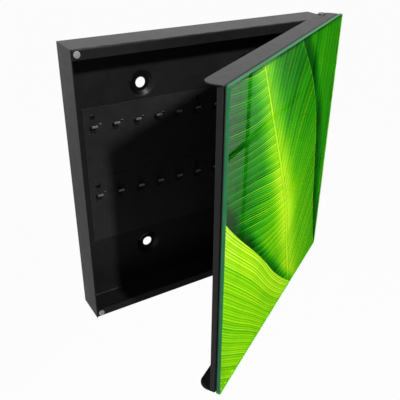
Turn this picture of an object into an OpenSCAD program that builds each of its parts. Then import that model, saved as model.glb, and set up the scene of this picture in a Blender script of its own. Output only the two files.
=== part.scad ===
// Wall key cabinet of folded sheet steel with a magnetic glass door.
// X is to the right, Y goes into the wall and Z is up. The origin is on the wall, in the middle of
// the four wall holes. The door is drawn as far open as door_open says.

/* [Cabinet] */
// Outside width of the cabinet
box_w = 295; // [240:1:400]
// Outside height of the cabinet
box_h = 295; // [240:1:400]
// Depth from the front edges to the outer face of the back
box_d = 38; // [32:1:80]
// Thickness of the cabinet's sheet
box_sheet = 1; // [0.8:0.1:1.5]
// Height of the lips along the top and bottom of the front
lip_h = 10; // [8:0.5:16]
// Outer radius of every fold
fold_r = 1.8; // [1.6:0.1:3]

/* [Wall fixing] */
// Distance between the wall holes from left to right
hole_pitch_x = 128; // [80:1:200]
// Diameter of a wall hole
hole_d = 11; // [5:0.5:13]
// Diameter of the pressed recess round a wall hole
recess_d = 26; // [22:1:36]
// Depth of the recess, which holds the back off the wall
recess_depth = 3; // [2:0.5:6]
// How far the recess's wall runs inwards for each millimetre of depth
recess_run = 1.5; // [0.6:0.1:1.8]
// Height of the plain strip between the hook plates and a recess
recess_gap = 3.5; // [2:0.5:20]

/* [Hook plates] */
// Distance from a plate's end to the outside of the cabinet's side
plate_inset = 17.5; // [6:0.5:40]
// Height of one plate
plate_h = 76; // [50:1:100]
// Thickness of a plate
plate_sheet = 0.8; // [0.6:0.1:1.2]
// Gap between the two plates
plate_seam = 0.6; // [0.2:0.1:3]
// Height of the middle of the plates over the middle of the cabinet
plates_up = 3.2; // [0:0.1:10]
// Number of hooks on a plate
hook_count = 11; // [5:2:13]
// Distance from a plate's end to the middle of its first hook
hook_inset = 10; // [8:0.5:20]
// Distance from a plate's top edge to the middle of its hook tips
hook_drop = 18.5; // [14:0.5:30]
// Width of a hook
hook_w = 6.4; // [4:0.2:9]
// How far a hook stands out from its plate
hook_reach = 6.2; // [5:0.2:12]
// Height of a hook's turned up tip
hook_tip_h = 2.8; // [2.4:0.1:6]
// Height of the window that a hook was cut from
window_h = 7.6; // [6:0.2:14]
// Distance from a plate's top edge to its rivets
rivet_drop = 9.5; // [6:0.5:12]
// Diameter of a rivet's shank
rivet_d = 3.2; // [2.4:0.1:4]

/* [Door] */
// Angle of the open door, 0 when it is closed
door_open = 31.8; // [0:0.1:105]
// Thickness of the glass
glass_t = 4; // [3:0.5:6]
// How far the glass stands out past the pan on each side
glass_over = 0.5; // [0.2:0.1:3]
// Thickness of the printed film behind the glass
film_t = 0.2; // [0.1:0.05:0.4]
// Thickness of the tape that holds the glass
tape_t = 0.6; // [0.4:0.1:1.2]
// Width of the tape
tape_w = 12; // [6:1:25]
// Distance from the tape to the edge of the pan
tape_inset = 4; // [2:0.5:12]
// Thickness of the pan's sheet
pan_sheet = 1; // [0.8:0.1:1.5]
// How far the pan's top and bottom flanges reach back past the hinge axis
flange_past = 4.7; // [4.2:0.1:10]
// Radius of the flanges' rear corners
ear_r = 11; // [4:0.5:14]
// How far the pan's free edge stays inside the cabinet's left side
pan_shy = 5; // [4:0.5:12]
// How far the pan goes past the cabinet's right side
pan_past = 9; // [8:0.5:14]
// Gap between the closed pan's sheet and the cabinet's front edges
pan_gap = 5.8; // [2.4:0.1:8]
// Height of the slot between a side flange and the flanges above and below it
relief_h = 1; // [0.4:0.1:3]

/* [Magnets] */
// Diameter of a magnet
magnet_d = 6.4; // [4:0.1:8]
// Thickness of a magnet
magnet_t = 2; // [1.2:0.1:3]
// How far a magnet stands out of its lip
magnet_proud = 0.8; // [0.3:0.1:1.2]

/* [Hinges] */
// Distance from the hinge axis to the outside of the cabinet's right side
hinge_in = 4; // [3.4:0.1:8]
// Distance from the hinge axis back to the cabinet's front edges
hinge_back = 8.4; // [8:0.1:14]
// Diameter of a hinge pin
pin_d = 3; // [2:0.1:3.4]
// Diameter of a pin's head
pin_head_d = 8; // [6:0.5:10]
// Height of a pin's head
pin_head_h = 2; // [1:0.1:3]
// Thickness of the washer between flange and cabinet
washer_t = 0.9; // [0.5:0.1:2]
// Thickness of the washer inside the cabinet
inner_washer_t = 0.5; // [0.3:0.1:1]
// Thickness of the clip on a pin's end
clip_t = 0.6; // [0.4:0.1:1]
// Diameter of the groove that holds the clip
groove_d = 2.2; // [1.6:0.1:2.6]

/* [Clearances] */
// Running clearance round a hinge pin
run_gap = 0.05; // [0.02:0.01:0.1]
// Clearance round a piece that is set in a hole
set_gap = 0.03; // [0.01:0.01:0.1]
// Clearance between faces that slide past each other
slide_gap = 0.1; // [0.05:0.01:0.3]

/* [Hidden] */
$fn = 64;
// How far a cutting shape goes past what it cuts
past = 1;

// Levels from the wall at 0 out to the front
front_y = -recess_depth - box_d;
back_outer_y = -recess_depth;
back_inner_y = back_outer_y - box_sheet;
plate_front_y = back_inner_y - plate_sheet;

// Heights of the plates, their hooks and the wall holes
plates_half = plate_h + plate_seam / 2;
upper_plate_top = plates_up + plates_half;
lower_plate_top = upper_plate_top - plate_h - plate_seam;
hole_z = plates_up + plates_half + recess_gap + recess_d / 2;
plate_w = box_w - 2 * plate_inset;
hook_pitch = (plate_w - 2 * hook_inset) / (hook_count - 1);
// The recess's flat floor stays at least this much wider than the hole
floor_min = 4;
recess_floor_d = max(recess_d - 2 * recess_run * recess_depth, hole_d + floor_min);

// The closed door, from the cabinet's front edges outwards
pan_inner_y = front_y - pan_gap;
pan_outer_y = pan_inner_y - pan_sheet;
film_rear_y = pan_outer_y - tape_t;
glass_rear_y = film_rear_y - film_t;
glass_front_y = glass_rear_y - glass_t;
flange_gap = washer_t + slide_gap;
flange_d = pan_sheet + pan_gap + hinge_back + flange_past;
pan_h = box_h + 2 * (flange_gap + pan_sheet);
pan_w = box_w - pan_shy + pan_past;
pan_x = (pan_past + pan_shy) / 2;
glass_w = pan_w + 2 * glass_over;
glass_h = pan_h + 2 * glass_over;
glass_r = 2;
side_flange_d = pan_sheet + pan_gap - magnet_proud - slide_gap;

// Hinge axis and magnets
hinge_x = box_w / 2 - hinge_in;
hinge_y = front_y + hinge_back;
inner_room_r = hinge_in - box_sheet - slide_gap;
inner_washer_d = 2 * (inner_room_r - 0.2);
pin_end = 1.4;
magnet_x = -box_w / 2 + pan_shy + pan_sheet / 2;
magnet_z = (box_h - lip_h) / 2;

// Rectangle centred on x with its near edge at y = 0. The corners at the near edge have radius
// near_r and those at the far edge far_r.
module outline(w, d, near_r, far_r) {
    for (side = [-1, 1]) {
        translate([side * (w / 2 - near_r), near_r]) circle(near_r);
        translate([side * (w / 2 - far_r), d - far_r]) circle(far_r);
        translate([min(0, side * w / 2), near_r]) square([w / 2, d - near_r - far_r]);
    }
    translate([-w / 2 + near_r, 0]) square([w - 2 * near_r, d / 2]);
    translate([-w / 2 + far_r, d / 2]) square([w - 2 * far_r, d / 2]);
}

// Block w wide, d deep and h high, from y = 0 backwards. Its upright edges have the radii side_near
// and side_far, and its edges along X have cap_near and cap_far.
module block(w, d, h, side_near, side_far, cap_near, cap_far) {
    intersection() {
        translate([0, 0, -h / 2]) linear_extrude(h) outline(w, d, side_near, side_far);
        translate([-w / 2, 0, 0]) rotate([90, 0, 90]) linear_extrude(w)
            rotate(-90) mirror([1, 0]) outline(h, d, cap_near, cap_far);
    }
}

// Round bar along Y from y0 to y1
module bar_y(r, y0, y1) {
    translate([0, y0, 0]) rotate([-90, 0, 0]) cylinder(h = y1 - y0, r = r);
}

// Where the four wall holes are
module at_wall_holes() {
    for (x = [-1, 1], z = [-1, 1]) translate([x * hole_pitch_x / 2, 0, z * hole_z]) children();
}

// Where the rivets of a plate are: over the first, the middle and the last hook
module at_rivets(plate_top) {
    for (i = [-1, 0, 1])
        translate([i * (plate_w / 2 - hook_inset), 0, plate_top - rivet_drop]) children();
}

// The upper or lower end of the hinge axis, with z = 0 on the outer face of the flange
module at_hinge(side) {
    translate([hinge_x, hinge_y, 0]) mirror([0, 0, side < 0 ? 1 : 0]) translate([0, 0, pan_h / 2])
        children();
}

// Turns a closed door's piece about the hinge axis to where the open door has it
module on_door() {
    translate([hinge_x, hinge_y, 0]) rotate(door_open) translate([-hinge_x, -hinge_y, 0])
        children();
}

// Flat ring that lies over z = 0
module ring(outer_r, inner_r, t) {
    difference() {
        cylinder(h = t, r = outer_r);
        translate([0, 0, -past]) cylinder(h = t + 2 * past, r = inner_r);
    }
}

module cabinet_body() {
    color([0.17, 0.17, 0.18])
    difference() {
        union() {
            translate([0, front_y, 0]) difference() {
                block(box_w, box_d, box_h, 0.01, fold_r, fold_r, fold_r);
                translate([0, box_sheet, 0])
                    block(box_w - 2 * box_sheet, box_d - 2 * box_sheet, box_h - 2 * box_sheet,
                        0.01, fold_r - box_sheet, fold_r - box_sheet, fold_r - box_sheet);
                translate([-box_w / 2 + box_sheet, -past, -box_h / 2 + lip_h])
                    cube([box_w - 2 * box_sheet, box_d / 2 + past, box_h - 2 * lip_h]);
            }
            at_wall_holes() translate([0, back_inner_y + box_sheet / 2, 0]) rotate([-90, 0, 0])
                cylinder(h = recess_depth + box_sheet / 2,
                    r1 = recess_d / 2 + box_sheet, r2 = recess_floor_d / 2 + 0.6 * box_sheet);
        }
        at_wall_holes() {
            translate([0, back_inner_y, 0]) rotate([-90, 0, 0])
                cylinder(h = recess_depth, d1 = recess_d, d2 = recess_floor_d);
            bar_y(hole_d / 2, back_inner_y, past);
        }
        for (top = [upper_plate_top, lower_plate_top])
            at_rivets(top) bar_y(rivet_d / 2 + set_gap, back_inner_y - past, past);
        for (side = [-1, 1]) {
            translate([magnet_x, 0, side * magnet_z])
                bar_y(magnet_d / 2 + set_gap, front_y - past, front_y + box_sheet + past);
            translate([hinge_x, hinge_y, side * (box_h - box_sheet) / 2])
                cylinder(h = box_sheet + 2 * past, r = pin_d / 2 + run_gap, center = true);
        }
    }
}

// Side view of a hook: an arm out of the plate with its end turned up. z = 0 is the arm's lower face.
module hook_outline() {
    r = 1.5 * plate_sheet;
    tip_y = plate_front_y - hook_reach;
    translate([tip_y + r, 0]) square([back_inner_y - tip_y - r, plate_sheet]);
    translate([tip_y, r]) square([plate_sheet, hook_tip_h - r]);
    intersection() {
        translate([tip_y + r, r]) difference() {
            circle(r);
            circle(r - plate_sheet);
        }
        translate([tip_y, 0]) square(r);
    }
}

module hook_plate(plate_top) {
    arm_z = plate_top - hook_drop - hook_tip_h / 2;
    color([0.2, 0.2, 0.21]) {
        difference() {
            translate([-plate_w / 2, plate_front_y, plate_top - plate_h])
                cube([plate_w, plate_sheet, plate_h]);
            for (i = [0 : hook_count - 1])
                translate([hook_x(i) - hook_w / 2, plate_front_y - past, arm_z - window_h])
                    cube([hook_w, plate_sheet + 2 * past, window_h]);
            at_rivets(plate_top) bar_y(rivet_d / 2 + set_gap, plate_front_y - past, back_inner_y + past);
        }
        for (i = [0 : hook_count - 1])
            translate([hook_x(i) - hook_w / 2, 0, arm_z])
                rotate([90, 0, 90]) linear_extrude(hook_w) hook_outline();
    }
}

// Middle of hook i, counted from the left
function hook_x(i) = (i - (hook_count - 1) / 2) * hook_pitch;

// Hollow rivets: a low head in front, the shank through plate and back, and the upset end behind
module plate_rivets(plate_top) {
    head_r = 0.85 * rivet_d;
    upset_r = 0.72 * rivet_d;
    upset_h = 0.5 * recess_depth;
    color([0.3, 0.3, 0.31])
    at_rivets(plate_top) difference() {
        translate([0, plate_front_y, 0]) rotate([-90, 0, 0]) rotate_extrude() polygon([
            [0, -0.7], [head_r - 0.8, -0.7], [head_r, -0.25], [head_r, 0], [rivet_d / 2, 0],
            [rivet_d / 2, plate_sheet + box_sheet], [upset_r, plate_sheet + box_sheet],
            [upset_r - 0.4, plate_sheet + box_sheet + upset_h],
            [0, plate_sheet + box_sheet + upset_h]]);
        bar_y(0.3 * rivet_d, plate_front_y - past, back_inner_y);
    }
}

module upper_hook_plate() {
    hook_plate(upper_plate_top);
}

module lower_hook_plate() {
    hook_plate(lower_plate_top);
}

module upper_plate_rivets() {
    plate_rivets(upper_plate_top);
}

module lower_plate_rivets() {
    plate_rivets(lower_plate_top);
}

// Disc magnet set in a hole of the lip at the door's free edge
module magnet(side) {
    color([0.8, 0.81, 0.82])
    translate([magnet_x, front_y - magnet_proud, side * magnet_z]) bar_y(magnet_d / 2, 0, magnet_t);
}

module magnet_top() {
    magnet(1);
}

module magnet_bottom() {
    magnet(-1);
}

// Folded sheet with deep flanges above and below and narrower ones at the sides
module door_pan() {
    rear_y = past + flange_d;
    inner_w = pan_w - 2 * pan_sheet;
    inner_h = pan_h - 2 * pan_sheet;
    inner_r = fold_r - pan_sheet;
    color([0.17, 0.17, 0.18])
    on_door() difference() {
        translate([pan_x, pan_outer_y, 0]) difference() {
            block(pan_w, flange_d, pan_h, fold_r, ear_r, fold_r, 0.01);
            translate([0, pan_sheet, 0])
                block(inner_w, rear_y, inner_h, inner_r, 0.01, inner_r, 0.01);
            translate([-pan_w / 2 - past, side_flange_d, -inner_h / 2])
                cube([pan_w + 2 * past, rear_y, inner_h]);
            for (side = [-1, 1])
                translate([-pan_w / 2 - past, fold_r, side * (inner_h - relief_h) / 2 - relief_h / 2])
                    cube([pan_w + 2 * past, rear_y, relief_h]);
        }
        translate([hinge_x, hinge_y, -pan_h]) cylinder(h = 2 * pan_h, r = pin_d / 2 + set_gap);
    }
}

module glass_panel() {
    color([0.1, 0.35, 0.12])
    on_door() translate([pan_x, glass_rear_y, -glass_h / 2]) rotate([90, 0, 0])
        linear_extrude(glass_t) outline(glass_w, glass_h, glass_r, glass_r);
}

module print_film() {
    inset = 2 * glass_over;
    color([0.15, 0.5, 0.15])
    on_door() translate([pan_x, film_rear_y, -glass_h / 2 + inset]) rotate([90, 0, 0])
        linear_extrude(film_t)
            outline(glass_w - 2 * inset, glass_h - 2 * inset, glass_r, glass_r);
}

// Strip of tape w wide and h high, its middle at x, z on the closed pan
module tape(x, z, w, h) {
    color([0.08, 0.08, 0.08])
    on_door() translate([pan_x + x - w / 2, film_rear_y, z - h / 2]) cube([w, tape_t, h]);
}

// Middle of a strip along the pan's edge, from the middle of the pan
tape_x = pan_w / 2 - tape_inset - tape_w / 2;
tape_z = pan_h / 2 - tape_inset - tape_w / 2;
tape_side_h = 2 * tape_z - tape_w - 2;

module glass_tape_top() {
    tape(0, tape_z, pan_w - 2 * tape_inset, tape_w);
}

module glass_tape_bottom() {
    tape(0, -tape_z, pan_w - 2 * tape_inset, tape_w);
}

module glass_tape_left() {
    tape(-tape_x, 0, tape_w, tape_side_h);
}

module glass_tape_right() {
    tape(tape_x, 0, tape_w, tape_side_h);
}

// Pin with a low domed head on the flange, a shank down through flange, washers and cabinet sheet,
// and a groove for the clip under them
module hinge_pin(side) {
    wall_in = -pan_sheet - flange_gap - box_sheet;
    groove_top = wall_in - inner_washer_t - slide_gap;
    color([0.35, 0.35, 0.37])
    at_hinge(side) rotate_extrude() polygon([
        [0, groove_top - clip_t - pin_end], [pin_d / 2 - 0.3, groove_top - clip_t - pin_end],
        [pin_d / 2, groove_top - clip_t - pin_end + 0.3], [pin_d / 2, groove_top - clip_t],
        [groove_d / 2, groove_top - clip_t], [groove_d / 2, groove_top], [pin_d / 2, groove_top],
        [pin_d / 2, 0], [pin_head_d / 2, 0], [pin_head_d / 2, 0.4 * pin_head_h],
        [0.8 * pin_head_d / 2, 0.8 * pin_head_h], [0.5 * pin_head_d / 2, pin_head_h],
        [0, pin_head_h]]);
}

module hinge_pin_top() {
    hinge_pin(1);
}

module hinge_pin_bottom() {
    hinge_pin(-1);
}

// Washer between flange and cabinet. Its own weight lays it on the cabinet above and on the flange
// below.
module hinge_washer(side) {
    lower_z = side > 0 ? -pan_sheet - slide_gap - washer_t : -pan_sheet - washer_t;
    color([0.9, 0.9, 0.88])
    at_hinge(side) translate([0, 0, lower_z])
        ring(pin_head_d / 2 - 0.3, pin_d / 2 + 2 * run_gap, washer_t);
}

module hinge_washer_top() {
    hinge_washer(1);
}

module hinge_washer_bottom() {
    hinge_washer(-1);
}

// Washer inside the cabinet. It lies on the clip above and on the cabinet's floor below.
module inner_washer(side) {
    wall_in = -pan_sheet - flange_gap - box_sheet;
    lower_z = side > 0 ? wall_in - slide_gap - inner_washer_t : wall_in - inner_washer_t;
    color([0.9, 0.9, 0.88])
    at_hinge(side) translate([0, 0, lower_z])
        ring(inner_washer_d / 2, pin_d / 2 + 2 * run_gap, inner_washer_t);
}

module inner_washer_top() {
    inner_washer(1);
}

module inner_washer_bottom() {
    inner_washer(-1);
}

// Push-on clip in the pin's groove
module pin_clip(side) {
    groove_top = -pan_sheet - flange_gap - box_sheet - inner_washer_t - slide_gap;
    color([0.6, 0.6, 0.62])
    at_hinge(side) translate([0, 0, groove_top - clip_t]) difference() {
        ring(inner_washer_d / 2, groove_d / 2, clip_t);
        translate([-inner_washer_d, -groove_d / 2 + 0.2, -past])
            cube([inner_washer_d, groove_d - 0.4, clip_t + 2 * past]);
    }
}

module pin_clip_top() {
    pin_clip(1);
}

module pin_clip_bottom() {
    pin_clip(-1);
}

cabinet_body();
upper_hook_plate();
lower_hook_plate();
upper_plate_rivets();
lower_plate_rivets();
magnet_top();
magnet_bottom();
door_pan();
glass_panel();
print_film();
glass_tape_top();
glass_tape_bottom();
glass_tape_left();
glass_tape_right();
hinge_pin_top();
hinge_pin_bottom();
hinge_washer_top();
hinge_washer_bottom();
inner_washer_top();
inner_washer_bottom();
pin_clip_top();
pin_clip_bottom();
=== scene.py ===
import math

import bmesh
import bpy
from mathutils import Matrix, Vector


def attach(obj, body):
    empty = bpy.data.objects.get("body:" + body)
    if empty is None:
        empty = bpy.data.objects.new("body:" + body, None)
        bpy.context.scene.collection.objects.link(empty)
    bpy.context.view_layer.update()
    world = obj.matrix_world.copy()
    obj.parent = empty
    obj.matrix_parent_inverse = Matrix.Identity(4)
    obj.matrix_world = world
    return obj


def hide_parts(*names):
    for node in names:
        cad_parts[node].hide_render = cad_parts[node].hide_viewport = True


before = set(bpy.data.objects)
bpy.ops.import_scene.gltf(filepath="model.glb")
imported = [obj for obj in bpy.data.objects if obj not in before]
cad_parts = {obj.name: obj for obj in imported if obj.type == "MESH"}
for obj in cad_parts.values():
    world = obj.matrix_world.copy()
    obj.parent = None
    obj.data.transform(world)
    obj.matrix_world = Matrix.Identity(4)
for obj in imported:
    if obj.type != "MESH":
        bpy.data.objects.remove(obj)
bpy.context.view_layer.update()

# The camera looks down on the open cabinet from the left, 65 cm away from its middle.
bpy.ops.object.camera_add(
    location=(-0.303625, -0.512346, 0.268072),
    rotation=[math.radians(a) for a in (61.21150, -0.47327, -31.13782)],
)
camera = bpy.context.object
camera.name = "camera"
camera.data.lens = 50.784
camera.data.sensor_width = 36
camera.data.clip_start = 0.02
bpy.context.scene.camera = camera
bpy.context.scene.view_settings.view_transform = "Standard"


# Studio: a pale floor well below the cabinet, white all round, one small lamp above in front and a
# wide one above at the back. Three cloths and a card stand outside the picture, where only gloss
# shows them. The cloths keep the black coat dark, and the card is a window for the glass to mirror.
class Shade:
    """One output of a finish's nodes. Sums, products and powers of it add their Math nodes."""

    def __init__(self, tree, socket=None):
        self.tree = tree
        self.socket = socket

    def node(self, kind, settings=None, inputs=None, output=0):
        """Adds a node, settings first, then the values or links of its sockets."""
        made = self.tree.nodes.new("ShaderNode" + kind)
        for name, value in (settings or {}).items():
            if name == "stops":
                points = made.color_ramp.elements
                while len(points) < len(value):
                    points.new(1)
                for point, (position, colour) in zip(points, value):
                    point.position = position
                    point.color = (*colour, 1)
            else:
                setattr(made, name, value)
        for name, value in (inputs or {}).items():
            if isinstance(value, Shade):
                self.tree.links.new(value.socket, made.inputs[name])
            else:
                made.inputs[name].default_value = value
        return Shade(self.tree, made.outputs[output] if made.outputs else None)

    def maths(self, operation, *terms):
        return self.node("Math", {"operation": operation}, dict(enumerate(terms)))

    def __add__(self, other):
        return self.maths("ADD", self, other)

    def __sub__(self, other):
        return self.maths("SUBTRACT", self, other)

    def __rsub__(self, other):
        return self.maths("SUBTRACT", other, self)

    def __mul__(self, other):
        return self.maths("MULTIPLY", self, other)

    def __truediv__(self, other):
        return self.maths("DIVIDE", self, other)

    def __pow__(self, other):
        return self.maths("POWER", self, other)

    __radd__ = __add__
    __rmul__ = __mul__

    def between(self, low, high, low_value=0.0, high_value=1.0):
        """Soft step from low_value to high_value as this value goes from low to high."""
        return self.node(
            "MapRange",
            {"interpolation_type": "SMOOTHSTEP"},
            {0: self, 1: low, 2: high, 3: low_value, 4: high_value},
        )

    def mix(self, first, second):
        """Mixes two colours by this value."""
        return self.node("Mix", {"data_type": "RGBA"}, {0: self, 6: first, 7: second}, 2)

    def part(self, axis):
        """The x, y or z of this place."""
        return self.node("SeparateXYZ", inputs={0: self}, output="xyz".index(axis))

    def stretch(self, *scale):
        """This place with its x, y and z multiplied."""
        return self.node("Mapping", inputs={0: self, "Scale": scale})

    def bump(self, deep, height):
        """Normals of a surface that height raises by up to deep, in metres."""
        return self.node("Bump", inputs={"Strength": 1.0, "Distance": deep, "Height": height})

    def noise(self, place, scale, detail, roughness=0.5):
        """Cloudy values from 0 to 1, finer with a larger scale and rougher with more detail."""
        settings = {"Vector": place, "Scale": scale, "Detail": detail, "Roughness": roughness}
        return self.node("TexNoise", inputs=settings)

    def cover(self, shader):
        """Makes this shader the finish of the material."""
        self.node("OutputMaterial", inputs={"Surface": shader})


def new_finish(name):
    """Empty material, and the Shade that adds its nodes."""
    finish = bpy.data.materials.new(name)
    finish.use_nodes = True
    finish.node_tree.nodes.clear()
    return finish, Shade(finish.node_tree)


def seen_directly(add):
    """1 for what the camera sees by itself or through metal and glass, 0 for light on things."""
    path = add.node("LightPath")
    straight, gloss, through = (
        Shade(add.tree, path.socket.node.outputs[name])
        for name in ("Is Camera Ray", "Is Glossy Ray", "Is Transmission Ray")
    )
    return add.maths("MAXIMUM", add.maths("MAXIMUM", straight, gloss), through)


def softbox(name, place, aim, width, height, power):
    """Flat lamp at place, turned towards aim."""
    turn = (Vector(place) - Vector(aim)).to_track_quat("Z", "Y").to_euler()
    bpy.ops.object.light_add(type="AREA", location=place, rotation=turn)
    lamp = bpy.context.object
    lamp.name = name
    lamp.data.shape = "RECTANGLE"
    lamp.data.size = width
    lamp.data.size_y = height
    lamp.data.energy = power


FLOOR = -1.15
bpy.ops.mesh.primitive_plane_add(size=60, location=(0, 0, FLOOR))
floor = bpy.context.object
floor.name = "floor"
floor_finish, add = new_finish("floor")
swirl = add.noise(add.node("TexCoord", output=3), 1.5, 3)
plain = add.node(
    "BsdfPrincipled",
    inputs={
        "Base Color": swirl.mix((0.80, 0.80, 0.80, 1), (0.84, 0.84, 0.84, 1)),
        "Roughness": 0.9,
        "Specular IOR Level": 0.2,
    },
)
white = add.node("Emission", inputs={"Color": (1, 1, 1, 1), "Strength": 1.0})
share = seen_directly(add) * 0.96
add.cover(add.node("MixShader", inputs={0: share, 1: plain, 2: white}))
floor.data.materials.append(floor_finish)

world = bpy.data.worlds.new("studio")
world.use_nodes = True
world.node_tree.nodes.clear()
bpy.context.scene.world = world
add = Shade(world.node_tree)
surroundings = add.node(
    "Background", inputs={"Color": (1, 1, 1, 1), "Strength": seen_directly(add) * 0.7 + 0.3}
)
add.node("OutputWorld", inputs={"Surface": surroundings})

softbox("lamp in front", (-0.007, -1.64, 1.143), (0, 0, 0), 0.08, 0.15, 40)
softbox("lamp above the back", (0.5, 0.9, 1.3), (0, 0, 0.1), 1.2, 0.9, 7.5)


def card(name, across, up, place, turn):
    """Card that only gloss shows. Gives what adds its finish's nodes, and the places on it."""
    bpy.ops.mesh.primitive_plane_add(size=1, location=place, rotation=turn)
    made = bpy.context.object
    made.name = name
    made.scale = (across, up, 1)
    bpy.ops.object.transform_apply(location=True, rotation=True, scale=True)
    for rays in ("camera", "diffuse", "transmission", "volume_scatter", "shadow"):
        setattr(made, "visible_" + rays, False)
    finish, add = new_finish(name)
    made.data.materials.append(finish)
    return add, add.node("TexCoord", output=3)


def glow(add, strength):
    add.cover(add.node("Emission", inputs={"Color": (1, 1, 1, 1), "Strength": strength}))


UPRIGHT = (math.pi / 2, 0, 0)
FLAT = (0, 0, 0)
for name, across, up, place, turn, left, right in (
    ("hung cloth", 16.0, 4.4, (7.0, -2.4, 1.05), UPRIGHT, 0.34, 0.01),
    ("laid cloth", 16.0, 2.2, (7.0, -1.3, FLOOR + 0.05), FLAT, 0.24, 0.01),
    ("laid grey cloth", 4.6, 2.6, (-1.6, 2.0, FLOOR + 0.05), FLAT, 0.6, 0.6),
):
    add, spot = card(name, across, up, place, turn)
    glow(add, spot.part("x").between(0.1, 1.2, left, right))

# The window on this card has a bar up the middle and two across. They lean, because the door shows
# them at a slant. Seen by way of the door, the card is farther times as far off as the door itself,
# and row is the height on the door at which a place on the card is seen.
add, spot = card("window card", 0.22, 0.94, (0.5, -0.02, -0.36), (math.pi / 2, 0, math.pi / 2))
aside = spot.part("y")
farther = 1.919 - aside * 5.587
eye_level = 0.268
row = (spot.part("z") - eye_level) / farther + eye_level
sky = add.maths("MAXIMUM", (row + 0.04) / 0.18, 0.0) ** 1.6
near_pane = aside.between(-0.115, -0.08, 1.0, 0.5)
far_pane = add.maths("MAXIMUM", (0.03 - aside) / 0.1, 0.0)
far_pane = add.maths("MINIMUM", far_pane, 1.0) ** 1.5 * 0.35
lean = aside + row.between(-0.02, 0.01, 0.006, 0.0)
panes = lean.between(-0.0858, -0.0848, 1.0, 0.0) * near_pane
panes = panes + lean.between(-0.0792, -0.0782) * far_pane
for middle, tilt in ((0.095, 0.0), (0.002, -0.12)):
    rise = row - aside * tilt - middle
    panes = panes * add.maths("ABSOLUTE", rise).between(0.0026, 0.0034)
glow(add, sky * panes * 0.64 + 0.004)

# Cabinet: one blank of 1 mm sheet steel with its walls folded forward and lips folded in along the
# top and bottom of the front. Two dished recesses above and two below hold it off the wall round
# its screw holes. Black powder coat all over.
MM = 0.001
SHEET = 1.0
FOLD = 1.8
BACK = -3.0
FRONT = -41.0
HALF = 147.5
LIP = 10.0
SLIT = 0.15  # between a side wall and the end of a lip
WALL_HOLES = [(x, z) for x in (-64.0, 64.0) for z in (-96.0, 96.0)]
RECESS = [(16.0, 0.0), (14.0, 0.0), (9.1, 3.0), (5.5, 3.0)]  # radius, and depth behind the back
RECESS_BEND = 0.8
RIVETS_ALONG = (-120.0, 0.0, 120.0)
RIVETS_UP = {"upper": 70.0, "lower": -6.6}
RIVET_BORE = 1.63
MAGNET_AT = (-142.0, 142.5)  # x, and how far above or below the middle
MAGNET_BORE = 3.23
HINGE = (143.5, -32.6, 0.0)
PIN_BORE = 1.55


def at(*place):
    """A place in millimetres as metres."""
    return [value * MM for value in place]


# The way of an axis, and the turn that sets a new disc or bar along it.
WAYS = {"Y": (Vector((0, 1, 0)), (math.pi / 2, 0, 0)), "Z": (Vector((0, 0, 1)), (0, 0, 0))}


def block(name, low, high):
    """Rectangular start between two corners, open for editing."""
    bpy.ops.object.select_all(action="DESELECT")
    bpy.ops.mesh.primitive_cube_add(
        size=1,
        location=at(*((a + b) / 2 for a, b in zip(low, high))),
        scale=at(*(b - a for a, b in zip(low, high))),
    )
    piece = bpy.context.object
    piece.name = piece.data.name = name
    bpy.ops.object.transform_apply(location=True, rotation=True, scale=True)
    bpy.ops.object.mode_set(mode="EDIT")
    return piece


def pick(kind, test):
    """Selects the faces, edges or verts of the piece being edited whose middle passes the test."""
    mesh = bpy.context.object.data
    bpy.ops.mesh.select_mode(type={"faces": "FACE", "edges": "EDGE", "verts": "VERT"}[kind])
    bpy.ops.mesh.select_all(action="DESELECT")
    edited = bmesh.from_edit_mesh(mesh)
    for part in getattr(edited, kind):
        points = [part.co] if kind == "verts" else [v.co for v in part.verts]
        middle = sum(points, Vector()) / len(points) / MM
        if test(middle, part):
            part.select_set(True)
    bmesh.update_edit_mesh(mesh)


def push_edges(*way):
    """Draws new faces out of the selected edges, this way in millimetres."""
    bpy.ops.mesh.extrude_edges_move(TRANSFORM_OT_translate={"value": at(*way)})


def draw_rings(centre, way, rings):
    """Draws the selected round edge out ring by ring. A ring is its radius and its place along
    the way from the centre."""
    for (last, start), (radius, end) in zip(rings, rings[1:]):
        push_edges(*(way * (end - start)))
        bpy.ops.transform.resize(
            value=[1 if value else radius / last for value in way],
            center_override=at(*(Vector(centre) + way * end)),
        )


def level(a, b):
    """True where two measures are the same to a hundredth of a millimetre."""
    return abs(a - b) < 0.01


def apply(piece, kind, **settings):
    """Adds a modifier with these settings and applies it."""
    change = piece.modifiers.new(kind.lower(), kind)
    for name, value in settings.items():
        setattr(change, name, value)
    bpy.ops.object.select_all(action="DESELECT")
    piece.select_set(True)
    bpy.context.view_layer.objects.active = piece
    bpy.ops.object.modifier_apply(modifier=change.name)


def rods(radius, axis, low, high, places, sides=32):
    """Round bars along an axis to cut holes with, joined. Low and high are their ends, measured
    from each place."""
    way, turn = WAYS[axis]
    bpy.ops.object.select_all(action="DESELECT")
    made = []
    for place in places:
        bpy.ops.mesh.primitive_cylinder_add(
            vertices=sides,
            radius=radius * MM,
            depth=(high - low) * MM,
            location=at(*(a + b * (low + high) / 2 for a, b in zip(place, way))),
            rotation=turn,
        )
        made.append(bpy.context.object)
    for rod in made:
        rod.select_set(True)
    bpy.ops.object.join()
    bpy.ops.object.transform_apply(location=True, rotation=True, scale=True)
    return bpy.context.object


def cut(piece, cutter):
    """Takes the cutter's shape out of the piece."""
    apply(piece, "BOOLEAN", operation="DIFFERENCE", object=cutter, solver="EXACT")
    bpy.data.objects.remove(cutter)


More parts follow.
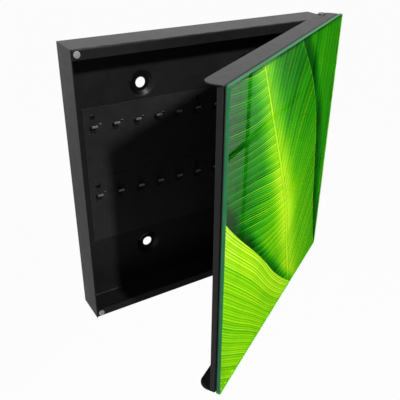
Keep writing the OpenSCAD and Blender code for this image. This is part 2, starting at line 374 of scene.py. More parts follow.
def round_off(piece, width):
    """Takes the sharpness off every edge, marks those edges for rubbed paint and a painted
    highlight, and smooths the rest.
    """
    apply(
        piece,
        "BEVEL",
        width=width * MM,
        segments=2,
        limit_method="ANGLE",
        angle_limit=math.radians(40),
        miter_outer="MITER_ARC",
    )
    mesh = piece.data
    worn = mesh.attributes.new("worn", "FLOAT", "FACE")
    sides = {}
    for face in mesh.polygons:
        for key in face.edge_keys:
            sides.setdefault(key, []).append(face.normal)
    for face in mesh.polygons:
        length, key = max(
            ((mesh.vertices[a].co - mesh.vertices[b].co).length, (a, b))
            for a, b in face.edge_keys
        )
        narrow = face.area < width * MM * length
        bent = any(normal.dot(face.normal) < 0.98 for normal in sides[key])
        worn.data[face.index].value = 1.0 if narrow and bent else 0.0
    bpy.ops.object.select_all(action="DESELECT")
    piece.select_set(True)
    bpy.context.view_layer.objects.active = piece
    bpy.ops.object.shade_smooth_by_angle(angle=math.radians(50))
    apply(piece, "WEIGHTED_NORMAL", keep_sharp=True, weight=80)


def powder_coat(name, grey, rough, peel):
    """Black powder coat: the fine orange peel and cloudiness of a sprayed and baked paint, a few
    dust nibs, edges rubbed smoother and a little grey, partly real wear and partly a painted
    highlight, and painted shade, nearly black and smoother, where the sheet is pressed deep into the
    recesses."""
    finish, add = new_finish(name)
    place = add.node("TexCoord", output=3)
    cloud = add.noise(place, 9, 4, 0.6)
    mottle = add.noise(place, 120, 3, 0.6)
    grain = add.noise(place, 1500, 2, 0.6)
    skin = add.noise(place, 620, 2, 0.45)
    nibs = add.node(
        "TexVoronoi", {"feature": "F1"}, {"Vector": place, "Scale": 210.0, "Randomness": 1.0}
    ).between(0.035, 0.075, 1.0, 0.0)
    sparse = add.noise(place, 60, 1).between(0.60, 0.66)
    dust = nibs * sparse
    rubbed_and_highlit = add.node("Attribute", {"attribute_name": "worn"}, output=2)
    rubbed_and_highlit = rubbed_and_highlit * add.noise(place, 85, 4, 0.65).between(0.42, 0.60, 0.15, 1.0)
    depth = (cloud * 0.5 + mottle * 0.3 + grain * 0.2).between(0.3, 0.7)
    paint = depth.mix(
        (grey * 0.72, grey * 0.72, grey * 0.74, 1), (grey * 1.3, grey * 1.3, grey * 1.34, 1)
    )
    paint = (dust * 0.6).mix(paint, (0.09, 0.09, 0.088, 1))
    # Rubbed edges and folds: lighter grey paint, partly real wear and partly a painted highlight
    # along them.
    paint = (rubbed_and_highlit * 0.55).mix(paint, (0.075, 0.075, 0.078, 1))
    pressed = add.node("Attribute", {"attribute_name": "pressed"}, output=2)
    # Painted shade: the paint goes nearly black in the recesses.
    paint = (pressed * 0.8).mix(paint, (0.001, 0.001, 0.001, 1))
    uneven = (mottle - 0.5) * 0.14 + (cloud - 0.5) * 0.12
    shader = add.node(
        "BsdfPrincipled",
        inputs={
            "Base Color": paint,
            "Roughness": uneven + rough - rubbed_and_highlit * 0.14 - pressed * 0.04,
            "Specular IOR Level": 0.155,
            "Normal": add.bump(peel * MM, skin * 0.7 + grain * 0.3 + dust * 0.8),
        },
    )
    add.cover(shader)
    return finish


cabinet = block("cabinet", (-HALF, FRONT + FOLD, -HALF), (HALF, BACK, HALF))
pick("faces", lambda p, face: face.normal.y < -0.9)
bpy.ops.mesh.delete(type="FACE")
pick("edges", lambda p, edge: level(p.y, BACK))
bpy.ops.mesh.bevel(offset=FOLD * MM, segments=4, profile=0.5, affect="EDGES")
lip_end = HALF - SHEET - SLIT
for side in (-1, 1):
    pick("faces", lambda p, face: abs(face.normal.z) > 0.99)
    bpy.ops.mesh.bisect(plane_co=at(side * lip_end, 0, 0), plane_no=(1, 0, 0))
pick("edges", lambda p, edge: level(p.y, FRONT + FOLD) and abs(p.x) > lip_end)
push_edges(0, -FOLD, 0)
for side in (-1, 1):
    pick("edges", lambda p, edge: level(p.y, FRONT + FOLD) and level(p.x, 0) and p.z * side > 0)
    bpy.ops.mesh.spin(
        steps=5,
        angle=-side * math.pi / 2,
        center=at(0, FRONT + FOLD, side * (HALF - FOLD)),
        axis=(1, 0, 0),
    )
    push_edges(0, 0, side * (FOLD - LIP))
pick("faces", lambda p, face: face.normal.y > 0.99 and level(p.x, 0) and level(p.z, 0))
bpy.ops.mesh.delete(type="ONLY_FACE")
for x, z in WALL_HOLES:
    bpy.ops.mesh.primitive_circle_add(
        vertices=64,
        radius=RECESS[0][0] * MM,
        fill_type="NOTHING",
        location=at(x, BACK, z),
        rotation=(math.pi / 2, 0, 0),
    )
pick("edges", lambda p, edge: level(p.y, BACK))
bpy.ops.mesh.fill()


def on_ring(edge, hole, ring):
    """True for an edge that runs along this ring of the recess round this hole."""
    radius, deep = ring
    centre = Vector((hole[0], BACK + deep, hole[1]))
    return all(
        level((v.co / MM - centre).length, radius) and level(v.co.y / MM, centre.y)
        for v in edge.verts
    )


for hole in WALL_HOLES:
    pick("edges", lambda p, edge: on_ring(edge, hole, RECESS[0]))
    draw_rings((hole[0], BACK, hole[1]), WAYS["Y"][0], RECESS)
bpy.ops.mesh.select_all(action="SELECT")
bpy.ops.mesh.normals_make_consistent(inside=False)
pick(
    "edges",
    lambda p, edge: any(
        on_ring(edge, hole, ring) for hole in WALL_HOLES for ring in (RECESS[1], RECESS[2])
    ),
)
bpy.ops.mesh.bevel(offset=RECESS_BEND * MM, segments=3, profile=0.5, affect="EDGES")
bpy.ops.object.mode_set(mode="OBJECT")
apply(
    cabinet,
    "SOLIDIFY",
    thickness=SHEET * MM,
    offset=-1,
    use_even_offset=True,
    use_quality_normals=True,
)
rivets = [(x, 0, z) for x in RIVETS_ALONG for z in RIVETS_UP.values()]
magnets = [(MAGNET_AT[0], FRONT, side * MAGNET_AT[1]) for side in (-1, 1)]
pins = [(HINGE[0], HINGE[1], side * (HALF - SHEET / 2)) for side in (-1, 1)]
cut(cabinet, rods(RIVET_BORE, "Y", -6.0, 0.0, rivets))
cut(cabinet, rods(MAGNET_BORE, "Y", -2.0, 3.0, magnets, 48))
cut(cabinet, rods(PIN_BORE, "Z", -3.0, 3.0, pins))
round_off(cabinet, 0.25)
pressed = cabinet.data.attributes.new("pressed", "FLOAT", "FACE")
for face in cabinet.data.polygons:
    # The front folds and the inner folds at the back get a painted highlight line, marked as rubbed
    # edges.
    front_fold = face.center.y < (FRONT + FOLD + 0.3) * MM and 0.6 < abs(face.normal.z) < 0.97
    back_fold = abs(face.center.z) > (HALF - FOLD) * MM and face.center.z * face.normal.z < 0
    if front_fold or (back_fold and -0.95 < face.normal.y < -0.3):
        cabinet.data.attributes["worn"].data[face.index].value = 1.0
    # Painted shade goes on the faces behind the back, in the recesses.
    pressed.data[face.index].value = 1.0 if face.center.y > (BACK + 0.1) * MM else 0.0
cabinet.data.materials.append(powder_coat("black powder coat", 0.009, 0.42, 0.02))
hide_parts("cabinet_body")
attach(cabinet, "cabinet")

# Hook plates: two strips of 0.8 mm sheet riveted to the back. Each of their eleven hooks is cut on
# three sides, folded out of the sheet and turned up at the end, which leaves a window under it. A
# small louvre stands beside each hook. Powder coated, with the hooks' ends rubbed bare.
PLATE = 0.8
PLATE_HIGH = 76.0
PLATE_END = 130.0
PLATE_CORNER = 1.2
RIVET_DROP = 9.5  # below the plate's top, as HOOK_DROP is
HOOK_DROP = 19.9
HOOKS = 11
PITCH = 24.0
FIRST_HOOK = -120.0
BEND = 1.2  # radius of a hook's two bends, with REACH between them and TIP after them
REACH = 4.6
TIP = 1.6
TIP_CORNER = 0.7
WINDOW = ((-3.2, 3.2), (-7.6, BEND))  # across from the hook's middle, up from its arm
LOUVRE = ((6.2, 9.0), (-0.3, 2.7))


def hook_plate(name, top):
    """One hook with the sheet round it, repeated along the row, made as thick as it is and
    drilled."""
    arm = top - HOOK_DROP
    root = BACK - SHEET
    bpy.ops.object.select_all(action="DESELECT")
    bpy.ops.mesh.primitive_plane_add(
        size=1, location=at(FIRST_HOOK, root, top - PLATE_HIGH / 2), rotation=(math.pi / 2, 0, 0)
    )
    plate = bpy.context.object
    plate.name = plate.data.name = name
    plate.scale = at(PITCH, PLATE_HIGH, 1)
    bpy.ops.object.transform_apply(location=True, rotation=True, scale=True)
    bpy.ops.object.mode_set(mode="EDIT")
    for x in WINDOW[0] + LOUVRE[0]:
        bpy.ops.mesh.select_all(action="SELECT")
        bpy.ops.mesh.bisect(plane_co=at(FIRST_HOOK + x, 0, 0), plane_no=(1, 0, 0))
    for z in sorted(WINDOW[1] + LOUVRE[1]):
        bpy.ops.mesh.select_all(action="SELECT")
        bpy.ops.mesh.bisect(plane_co=at(0, 0, arm + z), plane_no=(0, 0, 1))

    def within(p, opening):
        (left, right), (low, high) = opening
        return left < p.x - FIRST_HOOK < right and low < p.z - arm < high

    pick("faces", lambda p, face: within(p, WINDOW) or within(p, LOUVRE))
    bpy.ops.mesh.delete(type="FACE")
    pick("edges", lambda p, edge: level(p.x, FIRST_HOOK) and level(p.z, arm + BEND))
    for bent_at, way in ((root - BEND, (0, -REACH, 0)), (root - BEND - REACH, (0, 0, TIP))):
        bpy.ops.mesh.spin(
            steps=4, angle=math.pi / 2, center=at(0, bent_at, arm + BEND), axis=(1, 0, 0)
        )
        push_edges(*way)
    pick("verts", lambda p, vert: p.y < root - REACH and level(p.z, arm + BEND + TIP))
    bpy.ops.mesh.bevel(offset=TIP_CORNER * MM, segments=3, affect="VERTICES")
    louvre_middle = FIRST_HOOK + sum(LOUVRE[0]) / 2
    pick("edges", lambda p, edge: level(p.x, louvre_middle) and level(p.z, arm + LOUVRE[1][1]))
    push_edges(0, -0.8, -1.4)
    bpy.ops.object.mode_set(mode="OBJECT")
    apply(
        plate,
        "ARRAY",
        count=HOOKS,
        use_relative_offset=False,
        use_constant_offset=True,
        constant_offset_displace=at(PITCH, 0, 0),
        use_merge_vertices=True,
        merge_threshold=0.01 * MM,
    )
    bpy.ops.object.mode_set(mode="EDIT")
    for side in (-1, 1):
        bpy.ops.mesh.select_all(action="SELECT")
        bpy.ops.mesh.bisect(
            plane_co=at(side * PLATE_END, 0, 0), plane_no=(side, 0, 0), clear_outer=True
        )
    pick(
        "verts",
        lambda p, vert: level(abs(p.x), PLATE_END)
        and (level(p.z, top) or level(p.z, top - PLATE_HIGH)),
    )
    bpy.ops.mesh.bevel(offset=PLATE_CORNER * MM, segments=4, affect="VERTICES")
    bpy.ops.object.mode_set(mode="OBJECT")
    apply(plate, "SOLIDIFY", thickness=PLATE * MM, offset=1, use_even_offset=True)
    rivets = [(x, root, top - RIVET_DROP) for x in RIVETS_ALONG]
    cut(plate, rods(RIVET_BORE, "Y", -2.0, 1.0, rivets))
    round_off(plate, 0.12)
    return plate


def bare_tips(finish):
    """Lets grey steel show through a powder coat on the ends of the hooks, ragged at its border. A
    touch of it on the louvres' lips paints a highlight on them."""
    add = Shade(finish.node_tree)
    surface = finish.node_tree.nodes["Material Output"].inputs["Surface"]
    coat = Shade(add.tree, surface.links[0].from_socket)
    place = add.node("TexCoord", output=3)
    depth = place.part("y") / MM
    ragged = add.noise(place, 900, 3, 0.6)
    bare_and_highlit = (depth + ragged * 0.8).between(-10.5, -10.1, 1.0, 0.0)
    past_edge = place.part("x") / MM - (FIRST_HOOK + LOUVRE[0][0] - 0.3)
    louvre_highlight = add.maths("FRACT", past_edge / PITCH).between(0.13, 0.14, 1.0, 0.0)
    lip = (depth + ragged * 0.3).between(-5.1, -4.9, 1.0, 0.0)
    # The touch of steel on the louvres' lips is a painted highlight.
    bare_and_highlit = add.maths("MAXIMUM", bare_and_highlit, louvre_highlight * lip * 0.12)
    scratch = add.noise(place.stretch(300, 1500, 4000), 1.0, 3, 0.6)
    steel = add.node(
        "BsdfPrincipled",
        inputs={
            "Base Color": scratch.mix((0.34, 0.34, 0.35, 1), (0.52, 0.52, 0.53, 1)),
            "Metallic": 1.0,
            "Roughness": scratch * 0.25 + 0.34,
            "Normal": add.bump(0.006 * MM, scratch),
        },
    )
    add.tree.links.new(
        add.node("MixShader", inputs={0: bare_and_highlit, 1: coat, 2: steel}).socket, surface
    )
    return finish


plate_finish = bare_tips(powder_coat("hook plate powder coat", 0.016, 0.42, 0.014))
for row, up in RIVETS_UP.items():
    plate = hook_plate(row + "_plate", up + RIVET_DROP)
    plate.data.materials.append(plate_finish)
    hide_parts(row + "_hook_plate")
    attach(plate, "cabinet")

# Rivets: three hollow steel ones to a plate, blackened, with a low head in front. Behind the back
# their ends are spread.


def turned(name, centre, axis, rings, sides=32):
    """Round piece drawn out ring by ring, open for editing. A ring is its radius and its place
    along the axis."""
    way, turn = WAYS[axis]
    first_radius, first_place = rings[0]
    bpy.ops.object.select_all(action="DESELECT")
    bpy.ops.mesh.primitive_circle_add(
        vertices=sides,
        radius=first_radius * MM,
        fill_type="NGON",
        location=at(*(Vector(centre) + way * first_place)),
        rotation=turn,
    )
    piece = bpy.context.object
    piece.name = piece.data.name = name
    bpy.ops.object.transform_apply(location=True, rotation=True, scale=True)
    bpy.ops.object.mode_set(mode="EDIT")
    pick("edges", lambda p, edge: True)
    draw_rings(centre, way, rings)
    bpy.ops.mesh.edge_face_add()
    bpy.ops.mesh.select_all(action="SELECT")
    bpy.ops.mesh.normals_make_consistent(inside=False)
    return piece


def worked_steel(name, colour, rough, fine, metal=1.0):
    """Metal with the rings or strokes of its making, patches of duller film and fine scratches."""
    finish, add = new_finish(name)
    place = add.node("TexCoord", output=3)
    patch = add.noise(place, 260, 3, 0.6)
    scratch = add.noise(place.stretch(4200, 700, 900), 1.0, 3, 0.6)
    pits = add.noise(place, 2600, 2, 0.7).between(0.62, 0.74)
    dull = [value * 0.7 for value in colour]
    tone = patch.between(0.3, 0.7).mix((*dull, 1), (*colour, 1))
    tone = (pits * 0.5).mix(tone, (*[value * 0.35 for value in colour], 1))
    shader = add.node(
        "BsdfPrincipled",
        inputs={
            "Base Color": tone,
            "Metallic": metal,
            "Roughness": scratch * 0.2 + patch * 0.16 + rough - 0.18,
            "Normal": add.bump(fine * MM, scratch * 0.6 - pits * 0.8 + patch * 0.2),
        },
    )
    add.cover(shader)
    return finish


rivet_finish = worked_steel("blackened rivet steel", (0.022, 0.022, 0.024), 0.5, 0.004)
for row, up in RIVETS_UP.items():
    rings = [(0.96, -4.0), (0.96, -5.3), (1.1, -5.45), (1.75, -5.5), (2.3, -5.35), (2.62, -5.1)]
    rings += [(2.72, -4.8), (1.6, -4.8), (1.6, -3.0), (2.2, -2.95), (2.3, -2.7), (2.1, -1.9)]
    rings += [(1.9, -1.55), (1.6, -1.5), (1.1, -1.6)]
    rivets = turned(row + "_rivets", (RIVETS_ALONG[0], 0, up), "Y", rings)
    for before, after in zip(RIVETS_ALONG, RIVETS_ALONG[1:]):
        bpy.ops.mesh.duplicate_move(TRANSFORM_OT_translate={"value": at(after - before, 0, 0)})
    bpy.ops.object.mode_set(mode="OBJECT")
    bpy.ops.object.shade_smooth_by_angle(angle=math.radians(40))
    rivets.data.materials.append(rivet_finish)
    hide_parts(row + "_plate_rivets")
    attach(rivets, "cabinet")

# Magnets: two nickel plated discs pressed into the lips at the free edge of the door, 0.8 mm proud
# of the paint. The plating is satin, dulled and finely scratched by the door.
nickel = worked_steel("nickel plate", (0.33, 0.33, 0.325), 0.40, 0.004, 0.3)
for end, side in (("top", 1), ("bottom", -1)):
    rings = [(2.2, -41.78), (2.85, -41.8), (3.04, -41.72), (3.15, -41.6), (3.2, -41.4)]
    rings += [(3.2, -40.2), (3.15, -40.0), (3.04, -39.88), (2.85, -39.8)]
    magnet = turned(end + "_magnet", (MAGNET_AT[0], 0, side * MAGNET_AT[1]), "Y", rings, 48)
    bpy.ops.object.mode_set(mode="OBJECT")
    bpy.ops.object.shade_smooth_by_angle(angle=math.radians(40))
    magnet.data.materials.append(nickel)
    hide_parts("magnet_" + end)
    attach(magnet, "cabinet")

# Door pan: 1 mm sheet folded back on four sides. The flanges above and below are deep, have round
# rear corners and carry the hinge pins. The side flanges are shallow and end at relief slots. It
# is shaped as closed and then swung open about the hinge.
OPEN = math.radians(31.8)
PAN_LEFT, PAN_RIGHT, PAN_HALF = -142.5, 156.5, 149.5
PAN_FRONT = -47.8
PAN_SIDE = -41.9
FLANGE = -27.9
FLANGE_CORNER = 11.0
SLOT = 147.5
PAN_BORE = 1.53


def swing_open(piece):
    """Turns the closed door's piece to where the open door has it."""
    bpy.context.view_layer.objects.active = piece
    bpy.ops.object.mode_set(mode="EDIT")
    bpy.ops.mesh.select_all(action="SELECT")
    bpy.ops.transform.rotate(value=-OPEN, orient_axis="Z", center_override=at(*HINGE))
    bpy.ops.object.mode_set(mode="OBJECT")


pan = block("pan", (PAN_LEFT, PAN_FRONT, -PAN_HALF), (PAN_RIGHT, PAN_SIDE, PAN_HALF))
pick("faces", lambda p, face: face.normal.y > 0.9)
bpy.ops.mesh.delete(type="FACE")
pick("edges", lambda p, edge: level(p.y, PAN_FRONT))
bpy.ops.mesh.bevel(offset=FOLD * MM, segments=5, profile=0.5, affect="EDGES")
for side in (-1, 1):
    pick("faces", lambda p, face: abs(face.normal.x) > 0.99)
    bpy.ops.mesh.bisect(plane_co=at(0, 0, side * SLOT), plane_no=(0, 0, 1))
pick("faces", lambda p, face: abs(face.normal.x) > 0.99 and abs(p.z) > SLOT)
bpy.ops.mesh.delete(type="FACE")
pick("edges", lambda p, edge: level(p.y, PAN_SIDE) and abs(p.z) > PAN_HALF - 0.1)
push_edges(0, FLANGE - PAN_SIDE, 0)
pick("verts", lambda p, vert: level(p.y, FLANGE))
bpy.ops.mesh.bevel(offset=FLANGE_CORNER * MM, segments=12, affect="VERTICES")
bpy.ops.object.mode_set(mode="OBJECT")
apply(pan, "SOLIDIFY", thickness=SHEET * MM, offset=-1, use_even_offset=True)
pins = [(HINGE[0], HINGE[1], side * (PAN_HALF - SHEET / 2)) for side in (-1, 1)]
cut(pan, rods(PAN_BORE, "Z", -3.0, 3.0, pins))
round_off(pan, 0.25)
swing_open(pan)
pan.data.materials.append(powder_coat("door powder coat", 0.012, 0.46, 0.016))
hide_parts("door_pan")
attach(pan, "door")

# Glass: 4 mm float glass with round corners and ground, arrised edges, which look green because the
# light in them comes a long way through the sheet. It stands out half a millimetre past the pan.
GLASS_LEFT, GLASS_RIGHT, GLASS_HALF = -143.0, 157.0, 150.0
GLASS_FRONT, GLASS_REAR = -52.6, -48.6
GLASS_CORNER = 2.0
PRINT_INSET = 1.0


def round_corners():
    """Rounds the four edges through the thickness of the sheet being edited."""

    def goes_through(edge):
        along = edge.verts[1].co - edge.verts[0].co
        return level(along.x / MM, 0) and level(along.z / MM, 0)

    pick("edges", lambda p, edge: goes_through(edge))
    bpy.ops.mesh.bevel(offset=GLASS_CORNER * MM, segments=6, affect="EDGES")


def as_closed(add):
    """Places on the door in millimetres, turned back to where the closed door has them."""
    hinge = Vector(HINGE)
    return add.node(
        "Mapping",
        inputs={
            0: add.node("TexCoord", output=3),
            "Location": hinge - Matrix.Rotation(-OPEN, 3, "Z") @ hinge,
            "Rotation": (0, 0, -OPEN),
            "Scale": (1000, 1000, 1000),
        },
    )


def clear_glass():
    """Lets lamps through as they are, so that they light the print behind it."""
    finish, add = new_finish("clear glass")
    place = add.node("TexCoord", output=3)
    smear = add.noise(place, 16, 4, 0.65)
    wave = add.noise(place, 7, 1)
    body = add.node(
        "BsdfPrincipled",
        inputs={
            "Base Color": smear.mix((0.97, 0.995, 0.975, 1), (0.99, 1.0, 0.99, 1)),
            "Roughness": smear.between(0.45, 0.75, 0.0, 0.035),
            "IOR": 1.5,
            "Transmission Weight": 1.0,
            "Normal": add.bump(0.02 * MM, wave),
        },
    )
    path = add.node("LightPath")
    shadow = Shade(add.tree, path.socket.node.outputs["Is Shadow Ray"])
    through = add.node("BsdfTransparent", inputs={"Color": (0.97, 0.99, 0.975, 1)})
    add.cover(add.node("MixShader", inputs={0: shadow, 1: body, 2: through}))
    return finish


def ground_edge():
    """Green edge of the glass, ground along its length. Its rear quarter has painted shade for the
    black tape seen behind it, except at the right and below, where the light of the print shining
    into it is painted in green."""
    finish, add = new_finish("ground glass edge")
    place = add.node("TexCoord", output=3)
    streak = add.noise(place.stretch(900, 900, 60), 1.0, 3, 0.6)
    cloud = add.noise(place, 35, 3, 0.6)
    tone = (streak * 0.6 + cloud * 0.4).between(0.3, 0.7).mix(
        (0.024, 0.17, 0.066, 1), (0.040, 0.24, 0.092, 1)
    )
    closed = as_closed(add)
    # Painted shade: the rear of the edge goes dark where the tape is seen behind it.
    rear = (closed.part("y") + streak * 0.3).between(-49.8, -49.2)
    tone = rear.mix(tone, (0.036, 0.050, 0.042, 1))
    # Painted glow of the print in the edge at the right and below.
    right = closed.part("x").between(GLASS_RIGHT - 2.5, GLASS_RIGHT - 1.5)
    below = closed.part("z").between(1.5 - GLASS_HALF, 2.5 - GLASS_HALF, 1.0, 0.0)
    painted_print_glow = add.maths("MAXIMUM", right, below)
    print_glow_green = cloud.mix((0.18, 0.56, 0.030, 1), (0.30, 0.70, 0.040, 1))
    tone = painted_print_glow.mix(tone, print_glow_green)
    shader = add.node(
        "BsdfPrincipled",
        inputs={
            "Base Color": tone,
            "Roughness": streak * 0.25 + 0.3,
            "Specular IOR Level": 0.04,
            "Normal": add.bump(0.01 * MM, streak),
        },
    )
    add.cover(shader)
    return finish


def joined_to_print():
    """Rear face of the glass. The print is bonded to it, so that nothing shines there, and a narrow
    rim beside the print is inked green."""
    finish, add = new_finish("bonded rear face")
    closed = as_closed(add)
    across = closed.part("x") - (GLASS_LEFT + GLASS_RIGHT) / 2
    beyond = add.maths(
        "MAXIMUM", add.maths("ABSOLUTE", across), add.maths("ABSOLUTE", closed.part("z"))
    )
    print_end = GLASS_HALF - PRINT_INSET
    cloud = add.noise(closed, 0.04, 2)
    shader = add.node(
        "BsdfPrincipled",
        inputs={
            "Base Color": cloud.mix((0.02, 0.16, 0.010, 1), (0.05, 0.30, 0.015, 1)),
            "Roughness": cloud * 0.2 + 0.4,
            "Specular IOR Level": 0.0,
            "Alpha": beyond.between(print_end - 0.1, print_end),
        },
    )
    add.cover(shader)
    return finish


glass = block(
    "glass", (GLASS_LEFT, GLASS_FRONT, -GLASS_HALF), (GLASS_RIGHT, GLASS_REAR, GLASS_HALF)
)
round_corners()
bpy.ops.object.mode_set(mode="OBJECT")
apply(
    glass,
    "BEVEL",
    width=0.3 * MM,
    segments=2,
    limit_method="ANGLE",
    angle_limit=math.radians(60),
)
for finish in (clear_glass(), ground_edge(), joined_to_print()):
    glass.data.materials.append(finish)
for face in glass.data.polygons:
    if abs(face.normal.y) < 0.99:
        face.material_index = 1
    else:
        face.material_index = 0 if face.normal.y < 0 else 2
bpy.ops.object.shade_smooth_by_angle(angle=math.radians(18))
swing_open(glass)
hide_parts("glass_panel")
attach(glass, "door")

# Print: a thin film on the rear face of the glass with broad green leaves, one across the door from
# the lower right to the upper left, a darker one behind it and a pale blade in the near corner.


def leaves():
    """Printed side. The picture is drawn in tones from 0 to 1, which are then coloured green."""
    finish, add = new_finish("leaf print")
    closed = as_closed(add)
    across = closed.part("x")
    up = closed.part("z")
    sway = add.noise(closed, 0.009, 0) - 0.5
    fleck = add.noise(closed, 0.35, 3, 0.7)
    fibre = add.noise(closed, 1.1, 2, 0.6)

    def veins(along, spacing, line):
        """Distance from the nearest of evenly spaced veins, as a line of that width."""
        return add.maths("PINGPONG", along, spacing / 2).between(line * 0.4, line, 1.0, 0.0)

    def pleats(along, spacing):
        """Each strip between two veins goes from light to dark."""
        return add.maths("FRACT", along / spacing) - 0.5

    def strips(along, spacing):
        """A different tone for each strip between two veins."""
        number = add.maths("FLOOR", along / spacing)
        return add.node("TexWhiteNoise", {"noise_dimensions": "1D"}, {"W": number}) - 0.5

    def ribs(along, spacing, strength):
        """Fine uneven ribs between the veins, each with a finer one beside it."""
        wave = add.maths("SINE", along * (2 * math.pi / spacing) + fibre * 2)
        beside = add.maths("SINE", along * (2 * math.pi / spacing * 2.3) + fleck * 4)
        number = add.maths("FLOOR", along / spacing + 0.25)
        uneven = add.node("TexWhiteNoise", {"noise_dimensions": "1D"}, {"W": number + 0.5})
        return (wave * (uneven * 1.2 + 0.2) + beside * 0.35) * strength

    def over(mask, above, below):
        """Above where the mask is 1, below where it is 0."""
        return below + (above - below) * mask

    rib = 2.0 - up * 0.43 - up * up * 0.0006 + sway * 10
    beside = across - rib
    away = add.maths("ABSOLUTE", beside)
    right = beside.between(-0.2, 0.2)
    rise = over(right, away * 1.0 - away * away * 0.0016, away * 0.05 + away * away * 0.0011)
    along = up - rise + sway * 26
    fine = ribs(along, 2.4, 0.15)
    main = (
        0.52
        - away * 0.0016
        + away.between(2, 42, 0.26, 0.0)
        + pleats(along, 9.0) * over(right, -0.16, 0.14)
        + strips(along, 9.0) * 0.10
        + veins(along, 9.0, 0.55) * 0.17
        + fine
        + (fleck - 0.5) * 0.12
        + sway * 0.35
        + up.between(-150, 150, 0.10, -0.12)
        - across.between(-150, -30, 0.24, 0.0) * up.between(-20, 110)
    )
    width = 2.6 - up * 0.008
    main = over((away / width).between(0.8, 1.1, 1.0, 0.0), 0.86 + (fibre - 0.5) * 0.2, main)
    beside_rib = (away / width).between(1.0, 1.9, 1.0, 0.0) * (away / width).between(0.9, 1.1)
    main = main - beside_rib * 0.2

    behind_edge = beside - (104 + add.maths("SINE", up / 47) * 9 + sway * 22)
    dark_along = across - up * 0.22 + up * up * 0.0007 + sway * 30
    dark = (
        0.32
        + pleats(dark_along, 12.0) * 0.12
        + strips(dark_along, 12.0) * 0.10
        + veins(dark_along, 12.0, 0.6) * 0.09
        + ribs(dark_along, 2.8, 0.09)
        + (fleck - 0.5) * 0.08
        - behind_edge.between(0, 30, 0.34, 0.0)
    )
    picture = over(behind_edge.between(-0.4, 0.4), dark, main)
    margin = behind_edge.between(-1.8, -0.6) * behind_edge.between(-0.2, 0.3, 1.0, 0.0)
    picture = picture + margin * 0.2

    blade_edge = -138 + (38 - up) * 0.92 + (38 - up) * (38 - up) * 0.0007 + sway * 14 - across
    blade_along = blade_edge * 0.74 + sway * 8
    blade = (
        0.70
        + blade_edge.between(0, 60, 0.10, -0.06)
        + pleats(blade_along, 6.5) * 0.13
        + strips(blade_along, 6.5) * 0.09
        + veins(blade_along, 6.5, 0.5) * 0.14
        + ribs(blade_along, 2.6, 0.11)
        + (fleck - 0.5) * 0.10
    )
    picture = picture - blade_edge.between(-24, 0, 0.0, 0.40)
    picture = over(blade_edge.between(-0.4, 0.4), blade, picture)
    margin = blade_edge.between(-0.2, 0.4) * blade_edge.between(0.9, 1.8, 1.0, 0.0)
    picture = picture + margin * 0.14
    green = add.node(
        "ValToRGB",
        {
            "stops": [
                (0.0, (0.001, 0.018, 0.001)),
                (0.24, (0.003, 0.13, 0.002)),
                (0.46, (0.040, 0.33, 0.003)),
                (0.68, (0.22, 0.52, 0.004)),
                (0.86, (0.43, 0.66, 0.008)),
                (1.0, (0.62, 0.80, 0.08)),
            ]
        },
        {0: picture},
    )
    tint = add.noise(closed, 0.02, 2, 0.5).between(0.35, 0.7)
    green = (tint * 0.2).mix(green, (0.02, 0.36, 0.008, 1))
    shader = add.node(
        "BsdfPrincipled",
        inputs={
            "Base Color": green,
            "Roughness": fleck * 0.2 + 0.45,
            "Specular IOR Level": 0.0,
            "Normal": add.bump(0.002 * MM, fibre),
        },
    )
    add.cover(shader)
    return finish


def ink_back():
    """White backing of the print, rolled on."""
    finish, add = new_finish("print backing")
    place = add.node("TexCoord", output=3)
    roll = add.noise(place.stretch(500, 500, 40), 1.0, 3, 0.6)
    shader = add.node(
        "BsdfPrincipled",
        inputs={
            "Base Color": roll.mix((0.66, 0.66, 0.64, 1), (0.76, 0.76, 0.74, 1)),
            "Roughness": roll * 0.2 + 0.5,
            "Normal": add.bump(0.01 * MM, roll),
        },
    )
    add.cover(shader)
    return finish


film = block(
    "print",
    (GLASS_LEFT + PRINT_INSET, GLASS_REAR + 0.02, PRINT_INSET - GLASS_HALF),
    (GLASS_RIGHT - PRINT_INSET, GLASS_REAR + 0.2, GLASS_HALF - PRINT_INSET),
)
round_corners()
bpy.ops.object.mode_set(mode="OBJECT")
film.data.materials.append(leaves())
film.data.materials.append(ink_back())
for face in film.data.polygons:
    face.material_index = 0 if face.normal.y < -0.99 else 1
bpy.ops.object.shade_smooth_by_angle(angle=math.radians(30))
swing_open(film)
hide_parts("print_film")
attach(film, "door")

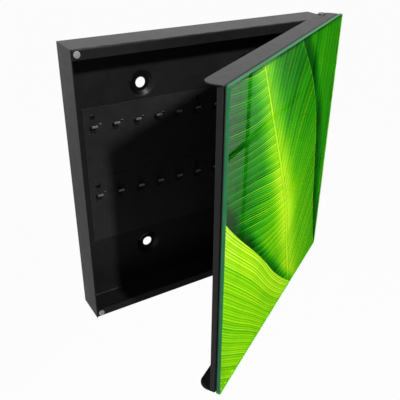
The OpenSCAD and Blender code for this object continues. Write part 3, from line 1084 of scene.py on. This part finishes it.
# Tape: four strips of black double sided foam tape between the print and the pan.
tape, add = new_finish("foam tape")
place = add.node("TexCoord", output=3)
cells = add.node("TexVoronoi", {"feature": "F1"}, {"Vector": place, "Scale": 2600.0})
press = add.noise(place, 70, 3, 0.6)
shader = add.node(
    "BsdfPrincipled",
    inputs={
        "Base Color": press.mix((0.012, 0.012, 0.012, 1), (0.035, 0.035, 0.034, 1)),
        "Roughness": cells * 0.3 + 0.7,
        "Normal": add.bump(0.06 * MM, cells),
    },
)
add.cover(shader)
for end in ("top", "bottom", "left", "right"):
    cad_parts["glass_tape_" + end].data.materials[0] = tape

# Hinge pins: steel, turned with a low domed head, a chamfered end and a groove for the clip. They go
# through the flange, the washers and the cabinet's sheet, and are blackened.
pin_steel = worked_steel("blackened pin steel", (0.16, 0.16, 0.17), 0.38, 0.006)
PIN = [(1.15, -5.6), (1.5, -5.3), (1.5, -4.2), (1.1, -4.2), (1.1, -3.6), (1.5, -3.6), (1.5, 0.0)]
PIN += [(3.8, 0.0), (4.0, 0.2), (4.0, 0.75), (3.85, 1.05), (3.5, 1.35), (3.0, 1.6), (2.4, 1.78)]
PIN += [(1.6, 1.92), (0.8, 1.99)]
for end, side in (("top", 1), ("bottom", -1)):
    rings = [(radius, side * rise) for radius, rise in PIN]
    pin = turned(end + "_pin", (HINGE[0], HINGE[1], side * PAN_HALF), "Z", rings, 40)
    bpy.ops.object.mode_set(mode="OBJECT")
    bpy.ops.object.shade_smooth_by_angle(angle=math.radians(35))
    pin.data.materials.append(pin_steel)
    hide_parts("hinge_pin_" + end)
    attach(pin, "door")

# Washers: nylon, between flange and cabinet and inside the cabinet, polished by their turning.
nylon, add = new_finish("nylon")
place = add.node("TexCoord", output=3)
milk = add.noise(place, 300, 3, 0.6)
rub = add.noise(place, 1800, 2, 0.6)
shader = add.node(
    "BsdfPrincipled",
    inputs={
        "Base Color": milk.mix((0.62, 0.61, 0.56, 1), (0.76, 0.75, 0.70, 1)),
        "Roughness": rub * 0.3 + 0.25,
        "Normal": add.bump(0.01 * MM, rub),
    },
)
add.cover(shader)
for node in ("hinge_washer_top", "hinge_washer_bottom", "inner_washer_top", "inner_washer_bottom"):
    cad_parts[node].data.materials[0] = nylon

# Clips: stamped from spring steel and pushed into the pins' grooves.
spring = worked_steel("spring steel", (0.45, 0.45, 0.46), 0.34, 0.006)
for end in ("top", "bottom"):
    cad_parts["pin_clip_" + end].data.materials[0] = spring
